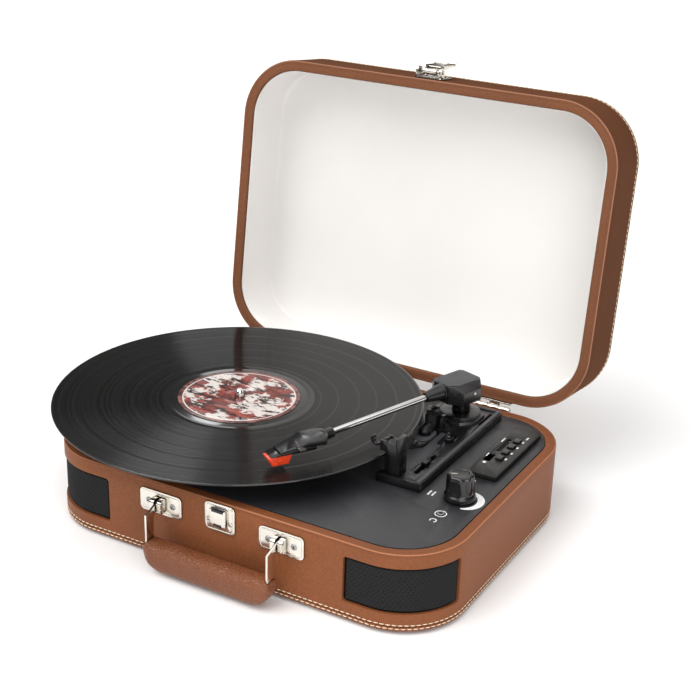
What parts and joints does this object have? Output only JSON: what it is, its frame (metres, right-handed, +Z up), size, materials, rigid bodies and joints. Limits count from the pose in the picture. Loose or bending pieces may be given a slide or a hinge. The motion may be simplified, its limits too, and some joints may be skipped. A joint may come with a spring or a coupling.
{
  "type": "suitcase record player",
  "caption": "Suitcase record player in a leatherette case: open lid, belt-driven platter with a record, lifting tonearm, corner speakers, control deck and carry handle.",
  "frame": {"origin": "centre of the bounding box at its lowest plane, which is the underside of the feet", "axes": "+Z up, +X along the front to the controls side, +Y from the front to the lid hinges"},
  "size_m": [0.393, 0.3838, 0.3349],
  "materials": {
    "leatherette": "fine-grained leatherette, satin",
    "speaker_cloth": "woven black speaker cloth",
    "lining": "smooth off-white lining",
    "textured_plastic": "fine sand texture",
    "rubber": "matt",
    "chrome": "polished",
    "nickel": "bright nickel plate",
    "steel": "plain",
    "vinyl": "grooved gloss",
    "label_paper": "printed paper",
    "module_plate": "dark satin",
    "stylus_red": "moulded",
    "circuit": "solder-masked board",
    "black_plastic": "moulded, low sheen"
  },
  "bodies": {
    "base": {"base_shell": "leatherette", "bottom_panel": "textured_plastic", "foot_front_left": "rubber", "foot_front_right": "rubber", "foot_back_left": "rubber", "foot_back_right": "rubber", "speaker_grille_right": "speaker_cloth", "speaker_grille_left": "speaker_cloth", "speaker_driver_right": "black_plastic", "speaker_driver_left": "black_plastic", "plinth": "textured_plastic", "platter_bearing": "steel", "spindle": "chrome", "motor": "steel", "drive_belt": "rubber", "circuit_board": "circuit", "tonearm_deck": "black_plastic", "arm_rest": "black_plastic", "module_panel": "module_plate", "media_sockets": "steel", "headphone_jack": "steel", "handle_bracket_left": "nickel", "handle_bracket_right": "nickel", "catch_plate": "nickel", "dc_inlet": "black_plastic", "rca_socket_plate": "black_plastic", "hinge_leaf_base_left": "nickel", "hinge_leaf_base_right": "nickel", "hinge_pin_left": "steel", "hinge_pin_right": "steel"},
    "platter": {"platter": "black_plastic", "platter_mat": "rubber", "record_disc": "vinyl", "record_label": "label_paper"},
    "pulley": {"motor_pulley": "steel"},
    "lid": {"lid_shell": "leatherette", "lid_lining": "lining", "hinge_leaf_lid_left": "nickel", "hinge_leaf_lid_right": "nickel", "latch_plate": "nickel"},
    "latch_lever": {"latch_lever": "nickel"},
    "latch_hook": {"latch_hook": "nickel"},
    "handle": {"handle_grip": "leatherette", "handle_bail_left": "nickel", "handle_bail_right": "nickel"},
    "arm_base": {"arm_turret": "black_plastic"},
    "tonearm": {"arm_housing": "black_plastic", "arm_tube": "chrome", "headshell": "black_plastic", "cartridge": "black_plastic", "stylus": "stylus_red"},
    "rest_clip": {"arm_rest_clip": "black_plastic"},
    "cue_lever": {"cue_lever": "black_plastic"},
    "volume_knob": {"volume_knob": "black_plastic"},
    "speed_switch": {"speed_switch": "black_plastic"},
    "autostop_switch": {"autostop_switch": "black_plastic"},
    "button_previous": {"button_previous": "black_plastic"},
    "button_play": {"button_play": "black_plastic"},
    "button_next": {"button_next": "black_plastic"},
    "button_mode": {"button_mode": "black_plastic"}
  },
  "joints": [
    {"name": "lid_hinge", "type": "hinge", "parent": "base", "child": "lid", "pos_m": [0.0205, 0.10007, 0.063], "axis": [1, 0, 0], "range_deg": [0, 30]},
    {"name": "latch_lever_pivot", "type": "hinge", "parent": "lid", "child": "latch_lever", "pos_m": [0.0205, 0.14814, 0.32896], "axis": [1, 0, 0], "range_deg": [0, 50]},
    {"name": "latch_hook_pivot", "type": "hinge", "parent": "latch_lever", "child": "latch_hook", "pos_m": [0.0205, 0.15652, 0.33126], "axis": [1, 0, 0], "range_deg": [0, 175]},
    {"name": "handle_swing", "type": "hinge", "parent": "base", "child": "handle", "pos_m": [0.0205, -0.16933, 0.049], "axis": [-1, 0, 0], "range_deg": [0, 110]},
    {"name": "platter_spin", "type": "hinge", "parent": "base", "child": "platter", "pos_m": [-0.0455, -0.04093, 0.003], "axis": [0, 0, -1], "continuous": true},
    {"name": "motor_spin", "type": "hinge", "parent": "base", "child": "pulley", "pos_m": [-0.0875, 0.03182, 0.003], "axis": [0, 0, -1], "continuous": true},
    {"name": "tonearm_swing", "type": "hinge", "parent": "base", "child": "arm_base", "pos_m": [0.1115, 0.05107, 0.003], "axis": [0, 0, 1], "range_deg": [-23.5, 17.5]},
    {"name": "tonearm_lift", "type": "hinge", "parent": "arm_base", "child": "tonearm", "pos_m": [0.1115, 0.05107, 0.099], "axis": [-0.9483, 0.3173, 0], "range_deg": [0, 8]},
    {"name": "cue_lever_tilt", "type": "hinge", "parent": "base", "child": "cue_lever", "pos_m": [0.1015, 0.02407, 0.079], "axis": [-1, 0, 0], "range_deg": [0, 16]},
    {"name": "rest_clip_swing", "type": "hinge", "parent": "base", "child": "rest_clip", "pos_m": [0.1037, -0.03493, 0.0975], "axis": [0, 1, 0], "range_deg": [0, 150]},
    {"name": "volume_turn", "type": "hinge", "parent": "base", "child": "volume_knob", "pos_m": [0.1665, -0.06493, 0.003], "axis": [0, 0, -1], "range_deg": [0, 280]},
    {"name": "speed_slide", "type": "slide", "parent": "base", "child": "speed_switch", "axis": [0, 1, 0], "range_m": [-0.009, 0.009]},
    {"name": "autostop_slide", "type": "slide", "parent": "base", "child": "autostop_switch", "axis": [0, 1, 0], "range_m": [0, 0.006]},
    {"name": "button_previous_press", "type": "slide", "parent": "base", "child": "button_previous", "axis": [0, 0, -1], "range_m": [0, 0.0008], "stiffness_N_per_m": 400, "springref_m": -0.0005},
    {"name": "button_play_press", "type": "slide", "parent": "base", "child": "button_play", "axis": [0, 0, -1], "range_m": [0, 0.0008], "stiffness_N_per_m": 400, "springref_m": -0.0005},
    {"name": "button_next_press", "type": "slide", "parent": "base", "child": "button_next", "axis": [0, 0, -1], "range_m": [0, 0.0008], "stiffness_N_per_m": 400, "springref_m": -0.0005},
    {"name": "button_mode_press", "type": "slide", "parent": "base", "child": "button_mode", "axis": [0, 0, -1], "range_m": [0, 0.0008], "stiffness_N_per_m": 400, "springref_m": -0.0005}
  ],
  "couplings": [
    {"joint": "motor_spin", "follows": "platter_spin", "ratio": 14.4},
    {"joint": "cue_lever_tilt", "follows": "tonearm_lift", "ratio": 2}
  ]
}
